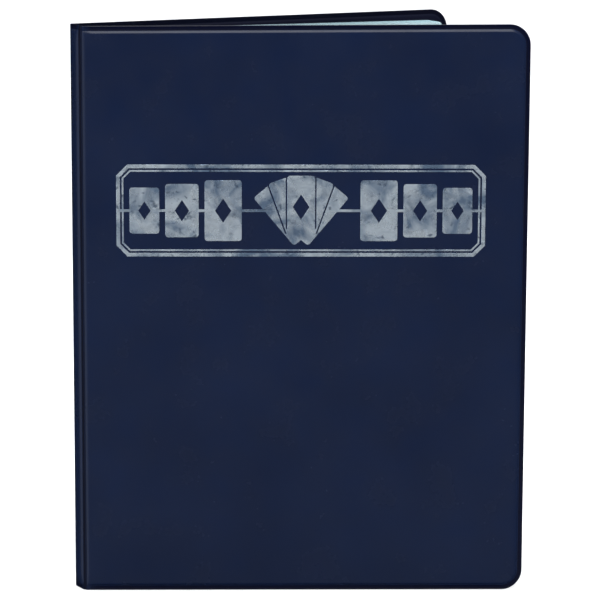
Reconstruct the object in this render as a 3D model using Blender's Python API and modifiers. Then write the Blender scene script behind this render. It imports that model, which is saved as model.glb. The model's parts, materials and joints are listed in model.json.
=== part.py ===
"""Pocket album for trading cards: a heat-sealed vinyl cover with permanently bound clear pages.

The album stands upright with its front cover partly open. Every cover, the spine and every page is
drawn as it would lie on a bench, flat in local X and Y with its outer face up in local Z, and the
pivots then stand it up: local Y is the height, and each pivot turns about local Y, its fold line.
"""

import math

import bmesh
import bpy
from mathutils import Vector

MM = 0.001

# Covers and spine
COVER_HEIGHT = 311 * MM
COVER_WIDTH = 241 * MM  # from fold line to free edge
COVER_THICKNESS = 2.4 * MM
CLOSED_THICKNESS = 13.9 * MM  # over both covers, when shut
CORNER_RADIUS = 11.3 * MM
VINYL = 0.35 * MM
BOARD = 1.2 * MM
WELD_WIDTH = 2.3 * MM  # flat welded border round each cover
WELD_THICKNESS = 1.0 * MM
SHOULDER_RUN = 1.2 * MM  # slope from the welded border up to the padded face
BOARD_INSET = 0.5 * MM  # from the top of that slope to the board inside

# Folds: the weld line is a thin bead, and each panel starts clear of it
FOLD_BEAD_RADIUS = 0.6 * MM
FOLD_CLEARANCE = 0.3 * MM
FOLD_WELD_WIDTH = 0.6 * MM
FOLD_SPACING = CLOSED_THICKNESS - COVER_THICKNESS  # between the two fold lines
BACK_FOLD_ANGLE = math.radians(90)  # spine square to the back cover
OPEN_ANGLE = math.radians(29.1)  # of the front cover, from shut

# Pages
PAGE_COUNT = 10
PAGE_WIDTH = 209 * MM
PAGE_HEIGHT = 304.4 * MM
PAGE_CORNER_RADIUS = 2 * MM
FILM = 0.2 * MM
FILM_GAP = 0.2 * MM
PAGE_PITCH = 0.87 * MM
FIRST_PAGE_OFFSET = 1.6 * MM  # from the back fold line to the first page's hinge
TAB_WIDTH = 8 * MM  # single film between the hinge and the first pocket
REAR_PAGE_ANGLE = math.radians(8.2)  # from shut, at rest
FRONT_PAGE_ANGLE = math.radians(9.6)
POCKET_ROWS = 3
POCKET_SIDE_WELD = 4 * MM
SLIT_HEIGHT = 1.0 * MM
SLIT_BELOW_WELD = 6 * MM

# Strip inside the spine that carries the pages
STRIP_WIDTH = 8.2 * MM
STRIP_HEIGHT = 300 * MM
STRIP_THICKNESS = 0.6 * MM
STRIP_GAP = 0.3 * MM

# Levels inside the spine, below the middle plane of its vinyl
STRIP_LEVEL = -COVER_THICKNESS / 2 - STRIP_GAP - STRIP_THICKNESS / 2
PAGE_HINGE_LEVEL = STRIP_LEVEL - STRIP_THICKNESS / 2 - FOLD_CLEARANCE - FILM / 2

# Foil ornament on the front cover
FOIL_GAP = 0.05 * MM
FOIL_THICKNESS = 0.1 * MM
FOIL_CUT_DEPTH = 3 * FOIL_THICKNESS  # of the cutters that pass through the film
FOIL_WIDTH = 199 * MM
FOIL_HEIGHT = 50 * MM
FOIL_CENTRE = (118.4 * MM, 211.4 * MM)  # from the front fold line and from the bottom edge
FRAME_CHAMFER = 6 * MM
FRAME_LINES = ((0, 2.0), (3.0, 3.9))  # inset in mm of each line's outer and inner edge
CARD_RADIUS = 1.6 * MM
SIDE_CARDS = ((16, 25), (18, 29), (20, 33))  # width and height in mm, from the frame inwards
SIDE_CARD_GAP = 3.2 * MM
RAIL_HEIGHT = 1.4 * MM
FAN_CARD = (15 * MM, 34 * MM)
FAN_ANGLES = (-40, 40, -20, 20, 0)  # degrees, in the order the cards are laid
FAN_PIVOT = 3 * MM  # from a fan card's lower edge up to the point it turns about
FAN_RISE = 2 * MM  # of the upright fan card above the middle of the frame
FAN_GAP = 0.8 * MM  # round each fan card that is laid over others
FAN_GAP_START = 1.5 * MM  # from the pivot outwards
PIP_SHARE = 0.4  # height of the diamond cut from a card, as a share of the card's
CHAMFER_SHARE = 2 - math.sqrt(2)  # keeps a frame line the same width across its corners

ARC_STEPS = 6
BEAD_SIDES = 12


def clear_scene():
    for thing in list(bpy.data.objects):
        bpy.data.objects.remove(thing, do_unlink=True)


def new_collection(name):
    collection = bpy.data.collections.new(name)
    bpy.context.scene.collection.children.link(collection)
    return collection


def material(name, colour, roughness, metallic=0.0, alpha=1.0):
    made = bpy.data.materials.new(name)
    made.use_nodes = True
    shader = made.node_tree.nodes["Principled BSDF"]
    shader.inputs["Base Color"].default_value = (*colour, 1.0)
    shader.inputs["Roughness"].default_value = roughness
    shader.inputs["Metallic"].default_value = metallic
    shader.inputs["Alpha"].default_value = alpha
    return made


def add_object(name, mesh, parent, finish, collection):
    made = bpy.data.objects.new(name, mesh)
    made.parent = parent
    made.data.materials.append(finish)
    collection.objects.link(made)
    return made


def add_pivot(name, parent, location=(0, 0, 0), turn=0.0):
    pivot = bpy.data.objects.new(name, None)
    pivot.empty_display_size = 10 * MM
    pivot.parent = parent
    pivot.location = location
    pivot.rotation_euler = (0, turn, 0)
    parts.objects.link(pivot)
    return pivot


def outline(x_low, x_high, y_low, y_high, low_radius=0.0, high_radius=0.0):
    """Points round a rectangle, anticlockwise, with its corners at x_low and at x_high rounded."""
    corners = (
        (x_high, y_low, high_radius, -90),
        (x_high, y_high, high_radius, 0),
        (x_low, y_high, low_radius, 90),
        (x_low, y_low, low_radius, 180),
    )
    points = []
    for x, y, radius, start in corners:
        if radius == 0:
            points.append((x, y))
            continue
        centre_x = x - math.copysign(radius, x - (x_low + x_high) / 2)
        centre_y = y - math.copysign(radius, y - (y_low + y_high) / 2)
        for step in range(ARC_STEPS + 1):
            angle = math.radians(start + 90 * step / ARC_STEPS)
            points.append((centre_x + radius * math.cos(angle), centre_y + radius * math.sin(angle)))
    return points


def plate(name, loops, thickness, z_centre=0.0):
    """Mesh of a flat plate: the first loop is its edge, and any others are holes through it."""
    curve = bpy.data.curves.new(name, "CURVE")
    curve.dimensions = "2D"
    curve.fill_mode = "BOTH"
    curve.extrude = thickness / 2
    for loop in loops:
        spline = curve.splines.new("POLY")
        spline.points.add(len(loop) - 1)
        for point, (x, y) in zip(spline.points, loop):
            point.co = (x, y, 0, 1)
        spline.use_cyclic_u = True
    guide = bpy.data.objects.new(name + "_guide", curve)
    bpy.context.scene.collection.objects.link(guide)
    bpy.context.view_layer.update()
    mesh = bpy.data.meshes.new_from_object(guide.evaluated_get(bpy.context.evaluated_depsgraph_get()))
    bpy.data.objects.remove(guide, do_unlink=True)
    shape = bmesh.new()
    shape.from_mesh(mesh)
    bmesh.ops.remove_doubles(shape, verts=shape.verts, dist=0.001 * MM)
    bmesh.ops.translate(shape, verts=shape.verts, vec=(0, 0, z_centre))
    bmesh.ops.recalc_face_normals(shape, faces=shape.faces)
    shape.to_mesh(mesh)
    shape.free()
    mesh.name = name
    return mesh


def box(name, size, centre):
    shape = bmesh.new()
    bmesh.ops.create_cube(shape, size=1.0)
    bmesh.ops.scale(shape, vec=size, verts=shape.verts)
    bmesh.ops.translate(shape, vec=centre, verts=shape.verts)
    mesh = bpy.data.meshes.new(name)
    shape.to_mesh(mesh)
    shape.free()
    return mesh


class Panel:
    """One stiffened panel of the cover: where it starts and ends, and which of its ends is rounded."""

    def __init__(self, x_low, x_high, fold_low, fold_high):
        self.x_low, self.x_high = x_low, x_high
        self.fold_low, self.fold_high = fold_low, fold_high

    def inset(self, border, slope):
        """Outline this far in from the panel's edge: border at free edges, less at folds."""
        fold_border = min(border, FOLD_WELD_WIDTH)
        low = (fold_border if self.fold_low else border) + slope
        high = (fold_border if self.fold_high else border) + slope
        across = border + slope
        rounded = CORNER_RADIUS - across
        return outline(
            self.x_low + low,
            self.x_high - high,
            across,
            COVER_HEIGHT - across,
            0.0 if self.fold_low else rounded,
            0.0 if self.fold_high else rounded,
        )


def skin(name, panel, side, finish, parent):
    """Vinyl sheet over one side of a panel: welded border, shoulder and padded face. side is +1 outside."""
    levels = (
        (panel.inset(0, 0), WELD_THICKNESS / 2),
        (panel.inset(WELD_WIDTH, 0), WELD_THICKNESS / 2),
        (panel.inset(WELD_WIDTH, SHOULDER_RUN), COVER_THICKNESS / 2),
    )
    shape = bmesh.new()
    rings = []
    for loop, level in levels:
        verts = [shape.verts.new((x, y, side * level)) for x, y in loop]
        rings.append([shape.edges.new((a, b)) for a, b in zip(verts, verts[1:] + verts[:1])])
    for outer, inner in zip(rings, rings[1:]):
        bmesh.ops.bridge_loops(shape, edges=outer + inner)
    bmesh.ops.contextual_create(shape, geom=rings[-1])
    bmesh.ops.recalc_face_normals(shape, faces=shape.faces)
    shape.normal_update()
    if max(shape.faces, key=lambda face: face.calc_area()).normal.z * side < 0:
        bmesh.ops.reverse_faces(shape, faces=shape.faces)
    mesh = bpy.data.meshes.new(name)
    shape.to_mesh(mesh)
    shape.free()
    made = add_object(name, mesh, parent, finish, parts)
    sheet = made.modifiers.new("Sheet thickness", "SOLIDIFY")
    sheet.thickness = VINYL
    sheet.offset = -1
    sheet.use_even_offset = True
    return made


def stiffened_panel(name, panel, parent):
    skin(name + "_skin", panel, 1, vinyl, parent)
    skin(name + "_liner", panel, -1, liner_vinyl, parent)
    board = plate(name + "_board", [panel.inset(WELD_WIDTH, SHOULDER_RUN + BOARD_INSET)], BOARD)
    add_object(name + "_board", board, parent, chipboard, parts)


def fold_bead(name, parent, x):
    shape = bmesh.new()
    bmesh.ops.create_cone(
        shape,
        cap_ends=True,
        segments=BEAD_SIDES,
        radius1=FOLD_BEAD_RADIUS,
        radius2=FOLD_BEAD_RADIUS,
        depth=COVER_HEIGHT,
    )
    mesh = bpy.data.meshes.new(name)
    shape.to_mesh(mesh)
    shape.free()
    made = add_object(name, mesh, parent, vinyl, parts)
    made.location = (x, COVER_HEIGHT / 2, 0)
    made.rotation_euler = (math.radians(90), 0, 0)


def page(number, spine):
    """One clear page: a plain back film with the binding tab, and a film with the pocket slits."""
    share = number / (PAGE_COUNT - 1)
    turned = REAR_PAGE_ANGLE + share * (FRONT_PAGE_ANGLE - REAR_PAGE_ANGLE)
    hinge = (FIRST_PAGE_OFFSET + number * PAGE_PITCH, 0, PAGE_HINGE_LEVEL)
    name = f"page_{number + 1:02d}"
    pivot = add_pivot(name + "_pivot", spine, hinge, math.radians(90) - turned)
    low = (COVER_HEIGHT - PAGE_HEIGHT) / 2
    high = low + PAGE_HEIGHT
    back = outline(0, PAGE_WIDTH, low, high, 0, PAGE_CORNER_RADIUS)
    front = outline(TAB_WIDTH, PAGE_WIDTH, low, high, 0, PAGE_CORNER_RADIUS)
    slits = []
    for row in range(POCKET_ROWS):
        top = low + (row + 1) * PAGE_HEIGHT / POCKET_ROWS - SLIT_BELOW_WELD
        ends = (TAB_WIDTH + POCKET_SIDE_WELD, PAGE_WIDTH - POCKET_SIDE_WELD)
        slits.append(outline(*ends, top - SLIT_HEIGHT, top))
    back_web = plate(name + "_back_web", [back], FILM)
    pocket_web = plate(name + "_pocket_web", [front] + slits, FILM, FILM + FILM_GAP)
    add_object(name + "_back_web", back_web, pivot, clear_film, parts)
    add_object(name + "_pocket_web", pocket_web, pivot, clear_film, parts)


def chamfered(width, height, chamfer):
    """Points of a rectangle about the origin with its corners cut off."""
    x, y = width / 2, height / 2
    quarter = ((x, y - chamfer), (x - chamfer, y))
    mirrored = [(-a, b) for a, b in reversed(quarter)]
    return [*quarter, *mirrored, *[(-a, -b) for a, b in quarter], *[(-a, -b) for a, b in mirrored]]


def diamond(x, y, height):
    return [(x + height / 3, y), (x, y + height / 2), (x - height / 3, y), (x, y - height / 2)]


def turned_about(pivot, turn, points):
    cos, sin = math.cos(turn), math.sin(turn)
    px, py = pivot
    return [
        (px + (x - px) * cos - (y - py) * sin, py + (x - px) * sin + (y - py) * cos)
        for x, y in points
    ]


def card(x, y, width, height):
    """Rounded card outline about x and y."""
    half, tall = width / 2, height / 2
    return outline(x - half, x + half, y - tall, y + tall, CARD_RADIUS, CARD_RADIUS)


def add_foil(parent):
    """One connected foil film: a frame, three cards on a rail to each side, and a fan of cards."""
    level = COVER_THICKNESS / 2 + FOIL_GAP + FOIL_THICKNESS / 2
    frame = []
    for inset in (edge * MM for line in FRAME_LINES for edge in line):
        chamfer = FRAME_CHAMFER - inset * CHAMFER_SHARE
        frame.append(chamfered(FOIL_WIDTH - 2 * inset, FOIL_HEIGHT - 2 * inset, chamfer))
    foil = add_object("foil_stamp", plate("foil_stamp", frame, FOIL_THICKNESS), parent, silver, parts)
    foil.location = (*FOIL_CENTRE, level)

    def helper(name, loops, thickness):
        made = add_object(name, plate(name, loops, thickness), parent, silver, cutters)
        made.location = foil.location
        made.hide_render = True
        made.display_type = "WIRE"
        return made

    def combine(name, operation, other):
        step = foil.modifiers.new(name, "BOOLEAN")
        step.operation = operation
        step.object = other

    frame_outer, frame_inner = FRAME_LINES[0][1] * MM, FRAME_LINES[-1][1] * MM
    rail_half = FOIL_WIDTH / 2 - frame_outer / 2
    rail = outline(-rail_half, rail_half, -RAIL_HEIGHT / 2, RAIL_HEIGHT / 2)
    combine("Rail", "UNION", helper("foil_rail", [rail], FOIL_THICKNESS))
    for side in (-1, 1):
        x = FOIL_WIDTH / 2 - frame_inner - SIDE_CARD_GAP
        for place, (width, height) in enumerate(SIDE_CARDS):
            width, height = width * MM, height * MM
            x -= width / 2
            name = f"foil_card_{'left' if side < 0 else 'right'}_{place + 1}"
            combine(name, "UNION", helper(name, [card(side * x, 0, width, height)], FOIL_THICKNESS))
            hole = helper(name + "_pip", [diamond(side * x, 0, height * PIP_SHARE)], FOIL_CUT_DEPTH)
            combine(name + " pip", "DIFFERENCE", hole)
            x -= width / 2 + SIDE_CARD_GAP
    width, height = FAN_CARD
    pivot = (0, FAN_RISE - height / 2 + FAN_PIVOT)
    for place, degrees in enumerate(FAN_ANGLES):
        turn = math.radians(-degrees)
        name = f"foil_fan_{place + 1}"
        if abs(degrees) < max(FAN_ANGLES):
            gap = turned_about(pivot, turn, fan_gap(width, height, pivot))
            combine(name + " gap", "DIFFERENCE", helper(name + "_gap", [gap], FOIL_CUT_DEPTH))
        shape = turned_about(pivot, turn, card(0, FAN_RISE, width, height))
        combine(name, "UNION", helper(name, [shape], FOIL_THICKNESS))
    pip = helper("foil_fan_pip", [diamond(0, FAN_RISE, height * PIP_SHARE)], FOIL_CUT_DEPTH)
    combine("Fan pip", "DIFFERENCE", pip)


def fan_gap(width, height, pivot):
    """Outline a little larger than an upright fan card, from near the pivot to past its far end."""
    half = width / 2 + FAN_GAP
    low = pivot[1] + FAN_GAP_START
    high = pivot[1] - FAN_PIVOT + height + FAN_GAP
    return outline(-half, half, low, high, CARD_RADIUS, CARD_RADIUS)


def stand_on_origin(root):
    """Moves the whole album so that the middle of its box's lower face is at the origin."""
    bpy.context.view_layer.update()
    graph = bpy.context.evaluated_depsgraph_get()
    points = []
    for thing in parts.objects:
        if thing.type == "MESH":
            solid = thing.evaluated_get(graph)
            points += [solid.matrix_world @ Vector(corner.co) for corner in solid.data.vertices]
    low = [min(point[axis] for point in points) for axis in range(3)]
    high = [max(point[axis] for point in points) for axis in range(3)]
    root.location = (-(low[0] + high[0]) / 2, -(low[1] + high[1]) / 2, -low[2])
    bpy.context.view_layer.update()


clear_scene()
parts = new_collection("trading_card_album")
cutters = new_collection("cutters")

vinyl = material("vinyl_navy", (0.010, 0.016, 0.042), 0.38)
liner_vinyl = material("vinyl_liner", (0.009, 0.013, 0.034), 0.5)
chipboard = material("chipboard", (0.32, 0.27, 0.20), 0.9)
clear_film = material("clear_film", (0.82, 0.87, 0.90), 0.15, alpha=0.35)
silver = material("foil_silver", (0.55, 0.60, 0.66), 0.25, metallic=0.9)
strip_plastic = material("binding_strip", (0.02, 0.025, 0.05), 0.6)

album = add_pivot("album", None)
album.rotation_euler = (math.radians(90), 0, 0)
back_cover = add_pivot("back_cover_pivot", album, turn=math.radians(180) + OPEN_ANGLE)
spine = add_pivot("spine_pivot", back_cover, turn=BACK_FOLD_ANGLE)
front_turn = math.radians(90) - OPEN_ANGLE
front_cover = add_pivot("front_cover_pivot", spine, (FOLD_SPACING, 0, 0), front_turn)

panel_start = FOLD_BEAD_RADIUS + FOLD_CLEARANCE
stiffened_panel("back_cover", Panel(-COVER_WIDTH, -panel_start, False, True), back_cover)
stiffened_panel("spine", Panel(panel_start, FOLD_SPACING - panel_start, True, True), spine)
stiffened_panel("front_cover", Panel(panel_start, COVER_WIDTH, True, False), front_cover)

fold_bead("back_hinge_web", spine, 0)
fold_bead("front_hinge_web", spine, FOLD_SPACING)

strip_size = (STRIP_WIDTH, STRIP_HEIGHT, STRIP_THICKNESS)
strip_centre = (FOLD_SPACING / 2, COVER_HEIGHT / 2, STRIP_LEVEL)
add_object("binding_strip", box("binding_strip", strip_size, strip_centre), spine, strip_plastic, parts)

for number in range(PAGE_COUNT):
    page(number, spine)

add_foil(front_cover)
stand_on_origin(album)
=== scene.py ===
"""Looks of the trading card album: padded vinyl covers, folds, clear pages, foil stamp and studio.

Each panel and page is drawn flat, with x along it from its fold, y up and z out of its outer face,
and its Place then sets it in the frame. Sheets are closed thin solids made of rings and a grid.
"""

import json
import math
import random

import bmesh
import bpy
from mathutils import Matrix, Vector, noise

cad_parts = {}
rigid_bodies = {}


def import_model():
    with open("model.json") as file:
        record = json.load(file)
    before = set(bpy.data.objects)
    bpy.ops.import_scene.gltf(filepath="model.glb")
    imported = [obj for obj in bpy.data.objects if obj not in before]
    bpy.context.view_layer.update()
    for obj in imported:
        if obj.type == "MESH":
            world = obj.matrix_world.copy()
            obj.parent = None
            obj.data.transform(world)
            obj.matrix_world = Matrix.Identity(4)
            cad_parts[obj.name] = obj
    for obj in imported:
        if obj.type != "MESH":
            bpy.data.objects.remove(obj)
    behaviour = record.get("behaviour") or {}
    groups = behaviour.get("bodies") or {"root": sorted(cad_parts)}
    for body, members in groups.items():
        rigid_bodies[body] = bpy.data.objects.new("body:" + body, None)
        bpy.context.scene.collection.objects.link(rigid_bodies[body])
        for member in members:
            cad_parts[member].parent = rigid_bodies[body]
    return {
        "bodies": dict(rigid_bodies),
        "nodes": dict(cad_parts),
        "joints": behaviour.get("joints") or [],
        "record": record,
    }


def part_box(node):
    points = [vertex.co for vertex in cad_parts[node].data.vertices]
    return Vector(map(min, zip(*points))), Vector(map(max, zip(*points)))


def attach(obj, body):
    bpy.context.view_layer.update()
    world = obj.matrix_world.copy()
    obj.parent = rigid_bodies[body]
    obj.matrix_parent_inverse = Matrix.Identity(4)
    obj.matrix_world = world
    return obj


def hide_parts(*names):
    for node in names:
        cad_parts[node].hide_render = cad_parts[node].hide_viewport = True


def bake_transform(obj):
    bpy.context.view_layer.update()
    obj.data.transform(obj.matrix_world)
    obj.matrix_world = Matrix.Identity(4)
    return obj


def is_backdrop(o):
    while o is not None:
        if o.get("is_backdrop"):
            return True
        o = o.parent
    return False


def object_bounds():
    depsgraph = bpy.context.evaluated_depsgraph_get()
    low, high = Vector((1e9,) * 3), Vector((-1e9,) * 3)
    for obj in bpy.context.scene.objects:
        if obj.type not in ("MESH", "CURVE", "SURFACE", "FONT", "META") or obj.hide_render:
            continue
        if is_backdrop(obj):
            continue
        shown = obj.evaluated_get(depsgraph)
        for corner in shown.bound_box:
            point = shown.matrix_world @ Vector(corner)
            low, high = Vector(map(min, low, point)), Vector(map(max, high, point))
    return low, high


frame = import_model()
cad_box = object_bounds()

MM = 0.001
UP = Vector((0, 0, 1))

# Covers and spine, with distances in mm
CORNER_RADIUS = 11.3
ARC_STEPS = 12
GRID_STEP = 5.0
FOLD_START = 0.5  # from the fold line to the edge of the sheet beside it
FOLD_SEAL_SHARE = 0.21  # how much narrower the sealed border is at a fold
SEAL_END = 2.6  # distance from a free edge to the bottom of the sealed groove
FOLD_RUN_SHARE = 0.95
# (distance from the edge, height above the middle plane) across the sealed border and the shoulder
PAD_PROFILE = (
    (0.00, 0.08), (0.03, 0.34), (0.10, 0.43), (0.24, 0.46), (0.80, 0.46), (1.40, 0.45), (2.00, 0.43),
    (2.30, 0.37), (2.60, 0.28), (2.78, 0.35), (3.00, 0.54), (3.25, 0.75), (3.50, 0.92), (3.80, 1.04),
    (4.20, 1.12), (4.80, 1.17), (5.80, 1.20), (8.00, 1.20), (CORNER_RADIUS, 1.20),
)
SPINE_PROFILE = (
    (0.00, 0.08), (0.03, 0.34), (0.10, 0.42), (0.24, 0.45), (1.40, 0.44), (2.20, 0.41), (2.60, 0.34),
    (2.78, 0.41), (3.00, 0.54), (3.35, 0.72), (3.80, 0.88), (4.35, 1.01), (5.00, 1.10), (5.60, 1.16),
    (6.00, 1.18),
)
LINING_PROFILE = (
    (0.00, 0.08), (0.03, 0.34), (0.10, 0.42), (0.24, 0.45), (1.40, 0.44), (2.20, 0.41), (2.60, 0.34),
    (2.85, 0.44), (3.15, 0.68), (3.55, 0.90), (4.10, 1.05), (5.00, 1.14), (6.50, 1.19), (8.50, 1.20),
    (CORNER_RADIUS, 1.20),
)
INNER_PROFILE = ((CORNER_RADIUS, 0.70), (8.00, 0.70), (3.95, 0.66), (3.20, 0.06), (0.30, 0.03))
SPINE_DEPTH = 6.0  # how far in the rings of the narrow spine go
SPINE_STEPS = 4
FACE_SWELL = 0.035
SWELL_SIZE = 55.0
SWELL_START = 3.0  # distance from the edge where the unevenness starts
SWELL_RUN = 8.0
SWELL_SEEDS = {"front_cover": 1.3, "spine": 4.1, "back_cover": 7.7}
LINING_SEED = 20
TOP_EDGE_RISES = (-0.6, 1.0)  # of the front cover: at the fold and at the far edge

# Vinyl looks: deep, light and sealed colours, then roughness and specular level. The sealed colour is
# painted shade: darker in the sealed groove and border.
OUTSIDE_LOOK = ((0.0024, 0.0066, 0.0250), (0.0033, 0.0084, 0.0300), (0.0010, 0.0018, 0.0105), 0.24, 0.36)
# Lining: its own dark navy, darkened further as painted shade inside the open covers
LINING_SHADE_LOOK = ((0.0018, 0.0026, 0.0110), (0.0026, 0.0038, 0.0150), (0.0012, 0.0018, 0.0090), 0.38, 0.14)
# Fold strips: matt, and painted darker as shade in the creases between covers and spine
FOLD_SHADE_LOOK = ((0.0008, 0.0012, 0.0070), (0.0012, 0.0018, 0.0090), (0.0010, 0.0015, 0.0080), 0.50, 0.10)

# Fold strips
STRIP_REACH = 1.15
STRIP_HALF = 0.30
FOLD_LEVEL = 0.27  # height of the sealed border beside a fold
STRIP_STEPS = 8
STRIP_ROWS = 62
STRIP_END_GAP = 0.3  # from each end of the cover to the strip's end

# Pages
TAB_WIDTH = 8.0
POCKETS = 3
PAGE_CORNER = 2.0
CORNER_FLAT = 0.3  # keeps the grid lines of a page apart where its corner starts
FILM = 0.14
WELD_HALF = 0.9
POCKET_LEVEL = 0.40  # between the middles of a page's two films
PINCH = 0.11
POCKET_BULGE = 0.05
SLIT_BELOW_WELD = 6.0
SLIT_HEIGHT = 1.0
SLIT_MARGIN = 4.0
TAB_WELD = 0.4  # haze of the tab, where a weld line has 1
WELD_FADE = 1.4  # how far the haze of a weld reaches, as a multiple of its half width
TAB_LINES = (0.0, 1.5, 3.0, 4.5, 6.0)
TAB_LINES_END = 6.5
COLUMN_GAP = 6.0  # widest steps between grid lines
ROW_GAP = 7.0
PAGE_SEED = 11
PAGE_WAVE = 0.02
PAGE_WAVE_SIZE = 40.0
BACK_BULGE_SHARE = 0.4
PAINTED_LIGHT_POWER = 3.2  # how fast the painted light (a pale haze) grows from the binding to the far edge
PAINTED_LIGHT_REACH = 12.0  # how far it goes down from the upper and lower edges
PAINTED_LIGHT_INSIDE = 0.08

# Strip inside the spine
STRIP_EDGE = 0.12
GROOVE_HALF = 0.25
GROOVE_DEPTH = 0.10
GROOVE_SHAPE = ((-1, 0), (-0.4, 1), (0.4, 1), (1, 0))  # across and deep, as shares of the two above
BINDING_ROWS = 30

# Foil
FOIL_RIM = 0.22
FOIL_RISE = 0.05

# Camera and studio
CAMERA_PLACE = (-0.0307, -1.5748, 0.4290)
CAMERA_PITCH = 10.003  # degrees down
CAMERA_YAW = 1.186
CAMERA_ROLL = -0.217
CAMERA_LENS = 169.8
CAMERA_SENSOR = 36.0
ROOM_LIGHT = 0.50
ROOM_GLOW = 0.02
LIGHT_TARGET = (0.0, 0.0, 0.25)
FLOOR_HALF = 6.0


# ---------------------------------------------------------------- frame

joint_of = {joint["name"]: joint for joint in frame["joints"]}
back_fold = Vector(joint_of["back_hinge"]["pos_m"])
front_fold = Vector(joint_of["front_hinge"]["pos_m"])
cover_far_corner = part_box("front_cover_skin")[1]
COVER_HEIGHT = cover_far_corner.z / MM
COVER_WIDTH = (cover_far_corner.x - front_fold.x) / MM
FOLD_SPACING = (front_fold - back_fold).length / MM
page_low, page_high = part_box("page_10_back_web")
PAGE_LOW, PAGE_HIGH = page_low.z / MM, page_high.z / MM


class Place:
    """Where a flat panel stands: its fold, the direction along it, and its outer side."""

    def __init__(self, origin, along, facing=1):
        self.along = along.normalized()
        self.out = self.along.cross(UP) * facing
        self.origin = origin

    def matrix(self):
        columns = Matrix((self.along, UP, self.out)).transposed()
        return Matrix.Translation(self.origin) @ (columns * MM).to_4x4()


spine_along = front_fold - back_fold
back_along = Vector((-spine_along.y, spine_along.x, 0))
front_place = Place(front_fold, Vector((1, 0, 0)))
spine_place = Place(back_fold, spine_along)
back_place = Place(back_fold, back_along, facing=-1)
open_angle = math.atan2(back_along.y, back_along.x)


def page_place(page):
    """A page's place: its share of the front cover's turn gives its direction at rest."""
    joint = joint_of[page + "_hinge"]
    ratios = {c["joint"]: c["ratio"] for c in frame["record"]["behaviour"]["couplings"]}
    angle = open_angle * (1 - ratios[page + "_hinge"])
    return Place(Vector(joint["pos_m"]), Vector((math.cos(angle), math.sin(angle), 0)))


# ---------------------------------------------------------------- materials


class Finish:
    """Small helper round one node material."""

    def __init__(self, name):
        self.material = bpy.data.materials.new(name)
        self.material.use_nodes = True
        self.tree = self.material.node_tree
        self.shader = self.tree.nodes["Principled BSDF"]
        self.coords = self.tree.nodes.new("ShaderNodeTexCoord").outputs["Object"]

    def set(self, **values):
        for name, value in values.items():
            self.shader.inputs[name.replace("_", " ")].default_value = value

    def node(self, kind, **links):
        made = self.tree.nodes.new("ShaderNode" + kind)
        for name, value in links.items():
            socket = made.inputs[name.replace("_", " ")]
            if isinstance(value, bpy.types.NodeSocket):
                self.tree.links.new(value, socket)
            else:
                socket.default_value = value
        return made

    def link(self, output, name):
        self.tree.links.new(output, self.shader.inputs[name])

    def noise(self, scale, detail=2.0, roughness=0.5, distortion=0.0, stretch=None):
        """Noise in the object's own metres: a scale of 100 has features about 10 mm across."""
        coords = self.coords
        if stretch:
            mapping = self.node("Mapping", Vector=coords, Scale=stretch)
            coords = mapping.outputs["Vector"]
        made = self.node("TexNoise", Vector=coords, Scale=scale, Detail=detail, Roughness=roughness,
                         Distortion=distortion)
        return made.outputs["Fac"]

    def remap(self, value, low, high, from_low=0.3, from_high=0.7):
        made = self.tree.nodes.new("ShaderNodeMapRange")
        self.tree.links.new(value, made.inputs["Value"])
        made.inputs["From Min"].default_value = from_low
        made.inputs["From Max"].default_value = from_high
        made.inputs["To Min"].default_value = low
        made.inputs["To Max"].default_value = high
        return made.outputs["Result"]

    def mix(self, factor, first, second):
        """Colour between two colours; either may be a plain tuple or a socket."""
        made = self.tree.nodes.new("ShaderNodeMix")
        made.data_type = "RGBA"
        self.tree.links.new(factor, made.inputs[0])
        for socket, value in ((made.inputs[6], first), (made.inputs[7], second)):
            if isinstance(value, bpy.types.NodeSocket):
                self.tree.links.new(value, socket)
            else:
                socket.default_value = (*value, 1.0)
        return made.outputs[2]

    def math(self, operation, first, second):
        made = self.tree.nodes.new("ShaderNodeMath")
        made.operation = operation
        for socket, value in zip(made.inputs, (first, second)):
            if isinstance(value, bpy.types.NodeSocket):
                self.tree.links.new(value, socket)
            else:
                socket.default_value = value
        return made.outputs[0]

    def attribute(self, name):
        made = self.tree.nodes.new("ShaderNodeAttribute")
        made.attribute_name = name
        return made.outputs["Fac"]

    def bump(self, layers):
        """Stacks bumps, each (height socket, strength, distance in mm)."""
        normal = None
        for height, strength, distance in layers:
            made = self.node("Bump", Height=height, Strength=strength, Distance=distance * MM)
            if normal:
                self.tree.links.new(normal, made.inputs["Normal"])
            normal = made.outputs["Normal"]
        self.link(normal, "Normal")


def vinyl_finish(name, deep, light, sealed, roughness, specular):
    """Satin calendered vinyl: faint clouding, a fine grain, slow waves, and a glossier sealed border whose
    darker colour is painted shade in its groove.
    """
    finish = Finish(name)
    cloud = finish.noise(16, detail=3)
    seal = finish.attribute("seal")
    body = finish.mix(finish.remap(cloud, 0, 1), deep, light)
    # The sealed border gets the darker sealed colour: painted shade in its groove
    finish.link(finish.mix(seal, body, sealed), "Base Color")
    smear = finish.remap(finish.noise(45, detail=4, roughness=0.6), roughness - 0.05, roughness + 0.06)
    finish.link(finish.math("SUBTRACT", smear, finish.math("MULTIPLY", seal, 0.08)), "Roughness")
    finish.bump((
        (finish.noise(14, detail=1), 0.35, 1.2),
        (finish.noise(1500, detail=3, roughness=0.65), 0.22, 0.06),
        (finish.noise(330, detail=2), 0.16, 0.10),
    ))
    finish.set(Specular_IOR_Level=specular, Coat_Weight=0.0)
    return finish.material


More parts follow.
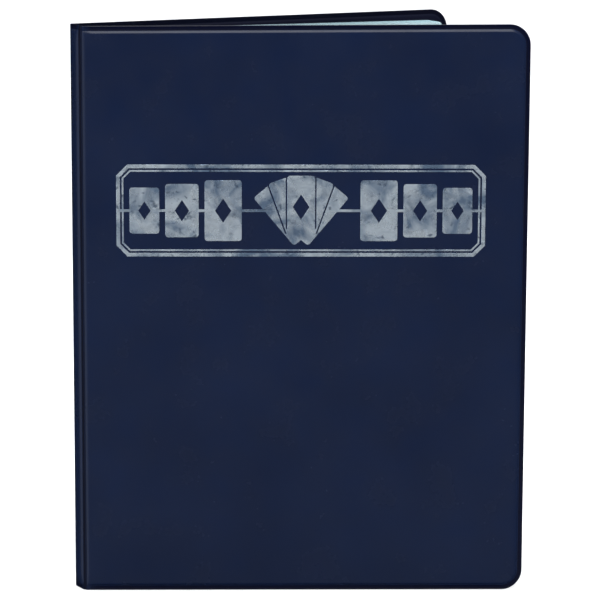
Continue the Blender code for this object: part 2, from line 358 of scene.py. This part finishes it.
def board_finish():
    """Grey chipboard with pressed fibres and darker flecks."""
    finish = Finish("chipboard_fibre")
    fibre = finish.noise(260, detail=6, roughness=0.7, distortion=1.2, stretch=(1, 1, 0.25))
    fleck = finish.remap(finish.noise(900, detail=2), 0, 1, 0.58, 0.66)
    body = finish.mix(finish.remap(fibre, 0, 1), (0.22, 0.18, 0.13), (0.38, 0.33, 0.25))
    finish.link(finish.mix(fleck, body, (0.12, 0.10, 0.08)), "Base Color")
    finish.link(finish.remap(fibre, 0.8, 0.95), "Roughness")
    finish.bump(((fibre, 0.5, 0.2),))
    return finish.material


def foil_finish():
    """Hot-stamped silver foil: its colour mottled between dark blue-grey and bright silver as painted
    reflection, with a faint brushed grain.
    """
    finish = Finish("foil_mottled")
    reflection_patch = finish.noise(55, detail=4, roughness=0.6, distortion=0.8)
    # Painted reflection: noise patches swing the colour between dark blue-grey and bright silver
    body = finish.mix(finish.remap(reflection_patch, 0, 1, 0.36, 0.60), (0.16, 0.23, 0.34), (0.58, 0.66, 0.74))
    speck = finish.remap(finish.noise(260, detail=3, distortion=0.5), 0, 0.8, 0.60, 0.70)
    finish.link(finish.mix(speck, body, (0.07, 0.11, 0.18)), "Base Color")
    finish.link(finish.remap(finish.noise(160, detail=3), 0.18, 0.36), "Roughness")
    finish.bump((
        (finish.noise(80, detail=2, distortion=0.6), 0.80, 1.6),
        (finish.noise(650, detail=3, stretch=(1, 1, 0.3)), 0.25, 0.10),
    ))
    finish.set(Metallic=0.75)
    return finish.material


def film_finish():
    """Clear pocket film: faint face on, hazier at its welds and at grazing angles, with a pale haze as
    painted light towards its far edge and near its upper and lower edges.
    """
    finish = Finish("film_clear")
    weld = finish.attribute("weld")
    worn = finish.attribute("worn")
    haze = finish.remap(finish.noise(55, detail=3), 0.00, 0.03)
    grazing = finish.node("LayerWeight", Blend=0.30).outputs["Facing"]
    edge = finish.math("MULTIPLY", grazing, 0.24)
    frosted = finish.math("MULTIPLY", weld, 0.10)
    # Painted light: the pale haze grows towards the far edge, where more light reaches into the open pages
    soft = finish.math("ADD", finish.math("MULTIPLY", worn, 0.16), frosted)
    alpha = finish.math("ADD", finish.math("ADD", haze, edge), soft)
    finish.link(finish.math("MINIMUM", finish.math("ADD", alpha, 0.012), 0.95), "Alpha")
    finish.link(finish.mix(weld, (0.50, 0.72, 0.80), (0.66, 0.82, 0.87)), "Base Color")
    finish.link(finish.remap(finish.noise(90, detail=2), 0.10, 0.24), "Roughness")
    finish.bump((
        (finish.noise(30, detail=2), 0.5, 0.8),
        (finish.noise(240, detail=3), 0.06, 0.12),
    ))
    finish.set(IOR=1.49, Specular_IOR_Level=0.6)
    return finish.material


def strip_finish():
    """Matt dark plastic strip with a ribbed weld texture."""
    finish = Finish("strip_plastic")
    rib = finish.noise(700, detail=2, stretch=(0.1, 0.1, 1))
    tone = finish.mix(finish.remap(finish.noise(40), 0, 1), (0.012, 0.016, 0.034), (0.024, 0.030, 0.056))
    finish.link(tone, "Base Color")
    finish.link(finish.remap(rib, 0.45, 0.65), "Roughness")
    finish.bump(((rib, 0.4, 0.12),))
    return finish.material


# ---------------------------------------------------------------- mesh building


def finish_mesh(name, shape, matrix, material, sharp=35):
    """Turns a bmesh in its own mm into an object in the frame."""
    bmesh.ops.remove_doubles(shape, verts=shape.verts, dist=0.0005)
    bmesh.ops.dissolve_degenerate(shape, edges=shape.edges, dist=0.0001)
    shape.transform(matrix)
    bmesh.ops.recalc_face_normals(shape, faces=shape.faces)
    mesh = bpy.data.meshes.new(name)
    shape.to_mesh(mesh)
    shape.free()
    mesh.shade_smooth()
    mesh.set_sharp_from_angle(angle=math.radians(sharp))
    made = bpy.data.objects.new(name, mesh)
    bpy.context.scene.collection.objects.link(made)
    made.data.materials.append(material)
    return made


def between(first, last, steps):
    """Points from first up to but not including last."""
    return [
        tuple(a + (b - a) * step / steps for a, b in zip(first, last))
        for step in range(1, steps)
    ]


def level_at(profile, distance):
    """Height of a profile at this distance from the edge."""
    for (d0, z0), (d1, z1) in zip(profile, profile[1:]):
        if distance <= d1:
            return z0 + (z1 - z0) * (distance - d0) / (d1 - d0)
    return profile[-1][1]


class Panel:
    """Outline of a cover or the spine, and the rings that run round it at any distance in."""

    def __init__(self, width, far_is_fold, depth):
        self.width, self.far_is_fold, self.depth = width, far_is_fold, depth
        self.across = SPINE_STEPS if far_is_fold else round((width - 2 * CORNER_RADIUS) / GRID_STEP)
        self.rows = round((COVER_HEIGHT - 2 * CORNER_RADIUS) / GRID_STEP)

    @staticmethod
    def fold_inset(distance):
        """Distance from a fold line for a ring this far in from the free edges."""
        sealed = min(distance, SEAL_END) * FOLD_SEAL_SHARE
        return FOLD_START + sealed + max(0.0, distance - SEAL_END) * FOLD_RUN_SHARE

    def corners(self, distance):
        """Four runs of points, anticlockwise from the far lower corner."""
        near, low, high = self.fold_inset(distance), distance, COVER_HEIGHT - distance
        if self.far_is_fold:
            far = self.width - self.fold_inset(distance)
            return [[(far, low)], [(far, high)], [(near, high)], [(near, low)]]
        radius = max(0.0, CORNER_RADIUS - distance)
        centre_x = self.width - CORNER_RADIUS
        runs = []
        for centre_y, start in ((CORNER_RADIUS, -90), (COVER_HEIGHT - CORNER_RADIUS, 0)):
            turns = [math.radians(start + 90 * step / ARC_STEPS) for step in range(ARC_STEPS + 1)]
            runs.append([(centre_x + radius * math.cos(t), centre_y + radius * math.sin(t)) for t in turns])
        return runs + [[(near, high)], [(near, low)]]

    def ring(self, distance):
        runs = self.corners(distance)
        points = []
        for place, run in enumerate(runs):
            steps = self.rows if place % 2 == 0 else self.across
            points += run + between(run[-1], runs[(place + 1) % 4][0], steps)
        return points

    def grid(self):
        """Points of the flat middle, as rows from the lowest to the highest."""
        far_low, far_high, near_high, near_low = self.corners(self.depth)
        rows = []
        for j in range(self.rows + 1):
            share = j / self.rows
            left = Vector(near_low[0]).lerp(Vector(near_high[0]), share)
            right = Vector(far_low[-1]).lerp(Vector(far_high[0]), share)
            rows.append([left.lerp(right, i / self.across) for i in range(self.across + 1)])
        return rows


def swell(x, y, seed):
    """Slow unevenness of a padded face, in mm."""
    return FACE_SWELL * noise.noise(Vector((x / SWELL_SIZE, y / SWELL_SIZE, seed)))


def vinyl_sheet(name, panel, side, profile, seed, place, material, rises=(0, 0)):
    """Closed vinyl sheet over one side of a panel; side is 1 for the outer face and -1 for the lining.

    rises are how far the top edge stands above its nominal height at the fold and at the far edge.
    """
    shape = bmesh.new()
    seal = shape.verts.layers.float.new("seal")
    outer = [(d, z) for d, z in profile if d <= panel.depth]
    if outer[-1][0] < panel.depth:
        outer.append((panel.depth, level_at(profile, panel.depth)))
    hidden = [(min(d, panel.depth), z) for d, z in INNER_PROFILE if d < panel.depth or d == CORNER_RADIUS]
    stations = [(d, z, True) for d, z in reversed(outer)] + [(d, z, False) for d, z in reversed(hidden)]

    def vertex(x, y, z, distance, seen):
        near = panel.fold_inset(distance) + 0.001
        beside_fold = x < near or (panel.far_is_fold and x > panel.width - near)
        if beside_fold and seen and distance <= SEAL_END:
            z = min(z, FOLD_LEVEL)
        if seen:
            z += swell(x, y, seed) * min(1.0, max(0.0, distance - SWELL_START) / SWELL_RUN)
        rise = rises[0] + (rises[1] - rises[0]) * x / panel.width
        made = shape.verts.new((x, y + rise * y / COVER_HEIGHT, side * z))
        # Sealed border: glossier, and painted darker as shade in its groove
        made[seal] = 1.0 if distance < SEAL_END and not beside_fold else 0.0
        return made

    loops = []
    for d, z, seen in stations:
        loops.append([vertex(x, y, z, d, seen) for x, y in panel.ring(d)])
    for one, two in zip(loops, loops[1:]):
        for a, b, c, d in zip(one, one[1:] + one[:1], two[1:] + two[:1], two):
            shape.faces.new((a, b, c, d))
    for z, seen in ((outer[-1][1], True), (hidden[0][1], False)):
        rows = [[vertex(x, y, z, panel.depth, seen) for x, y in row] for row in panel.grid()]
        for low, high in zip(rows, rows[1:]):
            for a, b, c, d in zip(low, low[1:], high[1:], high):
                shape.faces.new((a, b, c, d))
    return finish_mesh(name, shape, place.matrix(), material, sharp=50)


def fold_strip(name, axis, before, after, material):
    """Thin vinyl web down a fold line, curved round it as the panels stand at rest. before and after lie
    along its panels.
    """
    start, end = -before * STRIP_REACH, after * STRIP_REACH
    centre = []
    for step in range(STRIP_STEPS + 1):
        t = step / STRIP_STEPS
        point = start * (1 - t) ** 2 + end * t ** 2
        direction = (before * (1 - t) + after * t).normalized()
        centre.append((point, direction.cross(UP)))
    section = [point + normal * STRIP_HALF for point, normal in centre]
    section += [point - normal * STRIP_HALF for point, normal in reversed(centre)]
    shape = bmesh.new()
    seal = shape.verts.layers.float.new("seal")
    loops = []
    for row in range(STRIP_ROWS + 1):
        height = STRIP_END_GAP + (COVER_HEIGHT - 2 * STRIP_END_GAP) * row / STRIP_ROWS
        loop = [shape.verts.new((p.x, p.y, height)) for p in section]
        # The whole strip is sealed border, so it takes its finish's darker sealed colour: painted shade in
        # the crease
        for made in loop:
            made[seal] = 1.0
        loops.append(loop)
    for one, two in zip(loops, loops[1:]):
        for a, b, c, d in zip(one, one[1:] + one[:1], two[1:] + two[:1], two):
            shape.faces.new((a, b, c, d))
    half = STRIP_STEPS + 1
    for loop in (loops[0], loops[-1]):
        for i in range(half - 1):
            shape.faces.new((loop[i], loop[i + 1], loop[-2 - i], loop[-1 - i]))
    made = finish_mesh(name, shape, Matrix.Translation(axis) @ Matrix.Scale(MM, 4), material)
    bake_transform(made)
    return made


# ---------------------------------------------------------------- covers


def build_covers():
    outside = vinyl_finish("vinyl_outside", *OUTSIDE_LOOK)
    # lining colours darkened as painted shade
    lining = vinyl_finish("vinyl_inside", *LINING_SHADE_LOOK)
    # fold strip colours darkened as painted shade in the crease
    fold_shade = vinyl_finish("vinyl_fold", *FOLD_SHADE_LOOK)
    cover = Panel(COVER_WIDTH, False, CORNER_RADIUS)
    spine = Panel(FOLD_SPACING, True, SPINE_DEPTH)
    for body, panel, place, profile in (
        ("front_cover", cover, front_place, PAD_PROFILE),
        ("spine", spine, spine_place, SPINE_PROFILE),
        ("back_cover", cover, back_place, PAD_PROFILE),
    ):
        seed = SWELL_SEEDS[body]
        rises = TOP_EDGE_RISES if body == "front_cover" else (0, 0)
        outer = vinyl_sheet(body + "_vinyl", panel, 1, profile, seed, place, outside, rises)
        inner = vinyl_sheet(
            body + "_lining", panel, -1, LINING_PROFILE, seed + LINING_SEED, place, lining, rises
        )
        for piece, node, slot in (
            (outer, body + "_skin", "vinyl_navy"),
            (inner, body + "_liner", "vinyl_liner"),
        ):
            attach(piece, body)
            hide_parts(node)
    front = fold_strip("front_fold_vinyl", front_fold, spine_place.along, front_place.along,
                       fold_shade)
    back = fold_strip("back_fold_vinyl", back_fold, -back_place.along, spine_place.along,
                      fold_shade)
    for piece, node in ((front, "front_hinge_web"), (back, "back_hinge_web")):
        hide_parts(node)


def build_boards():
    card = board_finish()
    for body in ("front_cover", "spine", "back_cover"):
        board = frame["nodes"][body + "_board"]
        board.data.materials.clear()
        board.data.materials.append(card)


# ---------------------------------------------------------------- pages


def spread(stops, gap):
    """Grid lines: each weld line gets five close lines, and the runs between them get wider steps."""
    lines = set()
    for stop in stops:
        for offset in (-WELD_HALF, -WELD_HALF / 2, 0, WELD_HALF / 2, WELD_HALF):
            lines.add(round(stop + offset, 4))
    ordered = sorted(lines)
    for a, b in zip(ordered, ordered[1:]):
        if b - a > gap:
            steps = math.ceil((b - a) / gap)
            lines.update(round(a + (b - a) * k / steps, 4) for k in range(1, steps))
    return sorted(lines)


def film_sheet(name, x_lines, y_lines, height, weld_at, gaps, place, material):
    """Closed film over a grid of lines. height and weld_at give its middle and its weld at a point."""
    shape = bmesh.new()
    weld = shape.verts.layers.float.new("weld")
    worn = shape.verts.layers.float.new("worn")
    x_far, y_low, y_high = x_lines[-1], y_lines[0], y_lines[-1]

    def painted_light_at(x, y):
        """Painted light, as a pale haze on the film: most at the far edge, and near the upper and lower
        edges.
        """
        from_end = min(y - y_low, y_high - y)
        near_end = max(0.0, 1.0 - from_end / PAINTED_LIGHT_REACH)
        return max(0.0, x / x_far) ** PAINTED_LIGHT_POWER * (PAINTED_LIGHT_INSIDE + (1.0 - PAINTED_LIGHT_INSIDE) * near_end)

    def rounded(x, y):
        """Pulls points in to the rounded far corners."""
        inner = x_far - PAGE_CORNER
        reach = PAGE_CORNER - min(y - y_low, y_high - y, PAGE_CORNER)
        edge = math.sqrt(max(CORNER_FLAT ** 2, PAGE_CORNER ** 2 - reach ** 2))
        return x if x <= inner else inner + (x - inner) * edge / PAGE_CORNER

    points = {}
    for side in (1, -1):
        for i, x in enumerate(x_lines):
            for j, y in enumerate(y_lines):
                made = shape.verts.new((rounded(x, y), y, height(x, y) + side * FILM / 2))
                made[weld] = weld_at(x, y)
                made[worn] = painted_light_at(x, y)
                points[side, i, j] = made
    kept = set()
    for i in range(len(x_lines) - 1):
        for j in range(len(y_lines) - 1):
            middle = ((x_lines[i] + x_lines[i + 1]) / 2, (y_lines[j] + y_lines[j + 1]) / 2)
            if not any(x0 < middle[0] < x1 and y0 < middle[1] < y1 for x0, x1, y0, y1 in gaps):
                kept.add((i, j))
    for i, j in kept:
        for side in (1, -1):
            around = ((i, j), (i + 1, j), (i + 1, j + 1), (i, j + 1))
            shape.faces.new([points[side, a, b] for a, b in around])
        walls = (
            ((i - 1, j), (i, j), (i, j + 1)),
            ((i + 1, j), (i + 1, j), (i + 1, j + 1)),
            ((i, j - 1), (i, j), (i + 1, j)),
            ((i, j + 1), (i, j + 1), (i + 1, j + 1)),
        )
        for neighbour, a, b in walls:
            if neighbour not in kept:
                shape.faces.new([points[1, *a], points[1, *b], points[-1, *b], points[-1, *a]])
    shape.verts.ensure_lookup_table()
    bmesh.ops.delete(shape, geom=[v for v in shape.verts if not v.link_faces], context="VERTS")
    return finish_mesh(name, shape, place.matrix(), material, sharp=60)


def weld_lines(start, end):
    """Middles of the weld lines that divide a stretch of page into pockets."""
    run = end - start - 2 * WELD_HALF
    return [start + WELD_HALF + k * run / POCKETS for k in range(POCKETS + 1)]


def build_pages():
    film = film_finish()
    draw = random.Random(PAGE_SEED)
    low, high = PAGE_LOW, PAGE_HIGH
    pages = sorted(name for name in frame["bodies"] if name.startswith("page_"))
    probe = frame["nodes"][pages[0] + "_back_web"]
    hinge = Vector(joint_of[pages[0] + "_hinge"]["pos_m"])
    width = max((v.co - hinge).to_2d().length for v in probe.data.vertices) / MM
    columns = weld_lines(TAB_WIDTH, width)
    rows = weld_lines(low, high)
    slit_ends = (TAB_WIDTH + SLIT_MARGIN, width - SLIT_MARGIN)
    slits = [(*slit_ends, row - SLIT_BELOW_WELD - SLIT_HEIGHT, row - SLIT_BELOW_WELD) for row in rows[1:]]
    slit_edges = [edge for slit in slits for edge in slit[2:]]

    def weld_at(x, y):
        """1 on a weld line and 0 in the middle of a pocket."""
        if x < columns[0] - WELD_HALF:
            return TAB_WELD
        nearest = min([abs(x - c) for c in columns] + [abs(y - r) for r in rows])
        return max(0.0, 1.0 - nearest / (WELD_FADE * WELD_HALF))

    def pocket_rise(x, y):
        """How far a pocket's film stands out from its welds, from 0 to 1."""
        rise = 1.0
        for value, stops in ((x, columns), (y, rows)):
            for a, b in zip(stops, stops[1:]):
                if a <= value <= b:
                    rise *= math.sin(math.pi * (value - a) / (b - a)) ** 0.5
        return rise if columns[0] < x < columns[-1] else 0.0

    x_all = spread(columns, COLUMN_GAP)
    x_back = [*TAB_LINES, *(x for x in x_all if x > TAB_LINES_END)]
    x_pocket = sorted({*x_all, *slit_ends})
    y_all = spread(rows, ROW_GAP)
    y_pocket = sorted(set(y_all + slit_edges))
    for page in pages:
        place = page_place(page)
        phase, lift = draw.uniform(0, 50), draw.uniform(0.6, 1.0)

        def uneven(x, y):
            wave = Vector((x / PAGE_WAVE_SIZE, y / PAGE_WAVE_SIZE, phase))
            return PAGE_WAVE * noise.noise(wave)

        def back_height(x, y):
            pinched = PINCH * weld_at(x, y) * (x > TAB_WIDTH)
            bulge = POCKET_BULGE * lift * BACK_BULGE_SHARE * pocket_rise(x, y)
            return pinched - bulge + uneven(x, y)

        def pocket_height(x, y):
            pinched = POCKET_LEVEL - PINCH * weld_at(x, y)
            return pinched + POCKET_BULGE * lift * pocket_rise(x, y) + uneven(x, y)

        back = film_sheet(page + "_film", x_back, y_all, back_height, weld_at, (), place, film)
        pocket = film_sheet(
            page + "_pockets", x_pocket, y_pocket, pocket_height, weld_at, slits, place, film
        )
        for piece, node in ((back, "_back_web"), (pocket, "_pocket_web")):
            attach(piece, page)
            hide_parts(page + node)


# ---------------------------------------------------------------- foil


def build_foil():
    """The stamped foil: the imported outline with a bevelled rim."""
    source = frame["nodes"]["foil_stamp"]
    shape = bmesh.new()
    shape.from_mesh(source.data)
    bmesh.ops.remove_doubles(shape, verts=shape.verts, dist=0.001 * MM)
    out = front_place.out
    top = [face for face in shape.faces if face.normal.dot(out) > 0.9]
    bmesh.ops.inset_region(
        shape, faces=top, thickness=FOIL_RIM * MM, depth=FOIL_RISE * MM, use_even_offset=True
    )
    mesh = bpy.data.meshes.new("foil_ornament")
    shape.to_mesh(mesh)
    shape.free()
    mesh.materials.clear()
    foil = bpy.data.objects.new("foil_ornament", mesh)
    bpy.context.scene.collection.objects.link(foil)
    mesh.materials.append(foil_finish())
    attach(foil, "front_cover")
    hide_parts("foil_stamp")


def build_binding():
    """The strip inside the spine, with a pressed weld groove for each page's tab."""
    to_spine = spine_place.matrix().inverted()
    corners = [to_spine @ vertex.co for vertex in frame["nodes"]["binding_strip"].data.vertices]
    low = Vector([min(corner[axis] for corner in corners) for axis in range(3)])
    high = Vector([max(corner[axis] for corner in corners) for axis in range(3)])
    section = [
        (high.x - STRIP_EDGE, high.z),
        (low.x + STRIP_EDGE, high.z),
        (low.x, high.z - STRIP_EDGE),
        (low.x, low.z + STRIP_EDGE),
        (low.x + STRIP_EDGE, low.z),
    ]
    for page in sorted(name for name in frame["bodies"] if name.startswith("page_")):
        middle = (to_spine @ Vector(joint_of[page + "_hinge"]["pos_m"])).x
        if low.x + STRIP_EDGE < middle - GROOVE_HALF and middle + GROOVE_HALF < high.x - STRIP_EDGE:
            for across, deep in GROOVE_SHAPE:
                section.append((middle + across * GROOVE_HALF, low.z + deep * GROOVE_DEPTH))
    section += [(high.x - STRIP_EDGE, low.z), (high.x, low.z + STRIP_EDGE), (high.x, high.z - STRIP_EDGE)]
    shape = bmesh.new()
    loops = []
    for step in range(BINDING_ROWS + 1):
        height = low.y + (high.y - low.y) * step / BINDING_ROWS
        loops.append([shape.verts.new((x, height, z)) for x, z in section])
    for one, two in zip(loops, loops[1:]):
        for a, b, c, d in zip(one, one[1:] + one[:1], two[1:] + two[:1], two):
            shape.faces.new((a, b, c, d))
    for loop in (loops[0], loops[-1]):
        shape.faces.new(loop)
    strip = finish_mesh("binding_strip_grooved", shape, spine_place.matrix(), strip_finish(), sharp=20)
    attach(strip, "spine")
    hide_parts("binding_strip")


# ---------------------------------------------------------------- studio


def build_floor():
    """Pale floor that glossy surfaces don't see."""
    shape = bmesh.new()
    bmesh.ops.create_grid(shape, x_segments=8, y_segments=8, size=FLOOR_HALF)
    mesh = bpy.data.meshes.new("studio_floor")
    shape.to_mesh(mesh)
    shape.free()
    floor = bpy.data.objects.new("studio_floor", mesh)
    bpy.context.scene.collection.objects.link(floor)
    finish = Finish("floor_pale")
    tone = finish.mix(finish.remap(finish.noise(2), 0, 1), (0.86, 0.86, 0.87), (0.90, 0.90, 0.90))
    finish.link(tone, "Base Color")
    finish.link(finish.remap(finish.noise(6), 0.75, 0.9), "Roughness")
    finish.set(Specular_IOR_Level=0.1)
    mesh.materials.append(finish.material)
    floor.visible_glossy = False
    floor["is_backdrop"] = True


# Bright sides of the room, as glossy surfaces see them and as matt ones do. Each has its direction, the
# cosines where it starts and where it is full, and its strength.
GLOSSY_SIDES = (
    ((-0.86, -0.50, -0.08), 0.62, 0.97, 0.70),
    ((0.00, -0.90, -0.43), 0.92, 0.995, 0.20),
    ((0.86, -0.50, -0.08), 0.80, 0.97, 0.06),
    ((0.00, 0.00, 1.00), 0.15, 0.95, 0.55),
)
MATT_SIDES = (
    ((0.25, -0.70, 0.67), -0.05, 0.90, 1.15),
    ((-0.10, 0.90, 0.45), 0.10, 0.95, 1.40),
)


def build_world():
    """White to the eye. Matt surfaces are lit from the front and the rear; glossy ones see a dim room."""
    world = bpy.data.worlds.new("studio")
    bpy.context.scene.world = world
    world.use_nodes = True
    nodes, links = world.node_tree.nodes, world.node_tree.links
    nodes.clear()
    direction = nodes.new("ShaderNodeTexCoord").outputs["Generated"]

    def glow(sides, base):
        total = base
        for axis, start, full, strength in sides:
            towards = nodes.new("ShaderNodeVectorMath")
            towards.operation = "DOT_PRODUCT"
            links.new(direction, towards.inputs[0])
            towards.inputs[1].default_value = Vector(axis).normalized()
            lobe = nodes.new("ShaderNodeMapRange")
            lobe.interpolation_type = "SMOOTHSTEP"
            links.new(towards.outputs["Value"], lobe.inputs["Value"])
            for name, value in (("From Min", start), ("From Max", full), ("To Max", strength)):
                lobe.inputs[name].default_value = value
            added = nodes.new("ShaderNodeMath")
            links.new(lobe.outputs["Result"], added.inputs[0])
            if isinstance(total, bpy.types.NodeSocket):
                links.new(total, added.inputs[1])
            else:
                added.inputs[1].default_value = total
            total = added.outputs[0]
        return total

    def background(colour, strength):
        made = nodes.new("ShaderNodeBackground")
        made.inputs["Color"].default_value = (*colour, 1)
        if isinstance(strength, bpy.types.NodeSocket):
            links.new(strength, made.inputs["Strength"])
        else:
            made.inputs["Strength"].default_value = strength
        return made.outputs[0]

    ray = nodes.new("ShaderNodeLightPath")
    shown = background((1, 1, 1), 1.0)
    for choice, other in (
        ("Is Diffuse Ray", background((0.98, 0.99, 1.0), glow(MATT_SIDES, ROOM_LIGHT))),
        ("Is Glossy Ray", background((0.86, 0.93, 1.0), glow(GLOSSY_SIDES, ROOM_GLOW))),
    ):
        mixed = nodes.new("ShaderNodeMixShader")
        links.new(ray.outputs[choice], mixed.inputs[0])
        links.new(shown, mixed.inputs[1])
        links.new(other, mixed.inputs[2])
        shown = mixed.outputs[0]
    links.new(shown, nodes.new("ShaderNodeOutputWorld").inputs[0])


def add_light(name, place, target, size, power):
    data = bpy.data.lights.new(name, "AREA")
    data.shape = "RECTANGLE"
    data.size, data.size_y = size
    data.energy = power
    light = bpy.data.objects.new(name, data)
    light.location = place
    aim = Vector(target) - Vector(place)
    light.rotation_euler = aim.to_track_quat("-Z", "Y").to_euler()
    light.visible_camera = False
    bpy.context.scene.collection.objects.link(light)


def build_lights():
    add_light("overhead_softbox", (0.0, -0.80, 1.30), LIGHT_TARGET, (1.0, 1.1), 12)
    add_light("rear_softbox", (0.1, 1.0, 1.5), LIGHT_TARGET, (1.2, 0.8), 8)


def build_camera():
    data = bpy.data.cameras.new("camera")
    data.lens, data.sensor_width = CAMERA_LENS, CAMERA_SENSOR
    data.clip_start, data.clip_end = 0.05, 60
    camera = bpy.data.objects.new("camera", data)
    pitch, yaw, roll = (math.radians(a) for a in (CAMERA_PITCH, CAMERA_YAW, CAMERA_ROLL))
    ahead = Vector((math.sin(yaw) * math.cos(pitch), math.cos(yaw) * math.cos(pitch), -math.sin(pitch)))
    right = Vector((math.cos(yaw), -math.sin(yaw), 0))
    down = ahead.cross(right)
    turned_right = right * math.cos(roll) + down * math.sin(roll)
    turned_down = down * math.cos(roll) - right * math.sin(roll)
    axes = Matrix((turned_right, -turned_down, -ahead)).transposed()
    camera.matrix_world = Matrix.Translation(CAMERA_PLACE) @ axes.to_4x4()
    bpy.context.scene.collection.objects.link(camera)
    bpy.context.scene.camera = camera


build_camera()
build_covers()
build_boards()
build_binding()
build_pages()
build_foil()
build_floor()
build_world()
build_lights()
bpy.context.scene.view_settings.view_transform = "Standard"

boxes = {"cad": cad_box, "visual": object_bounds()}
{name: [list(corner) for corner in box] for name, box in boxes.items()}
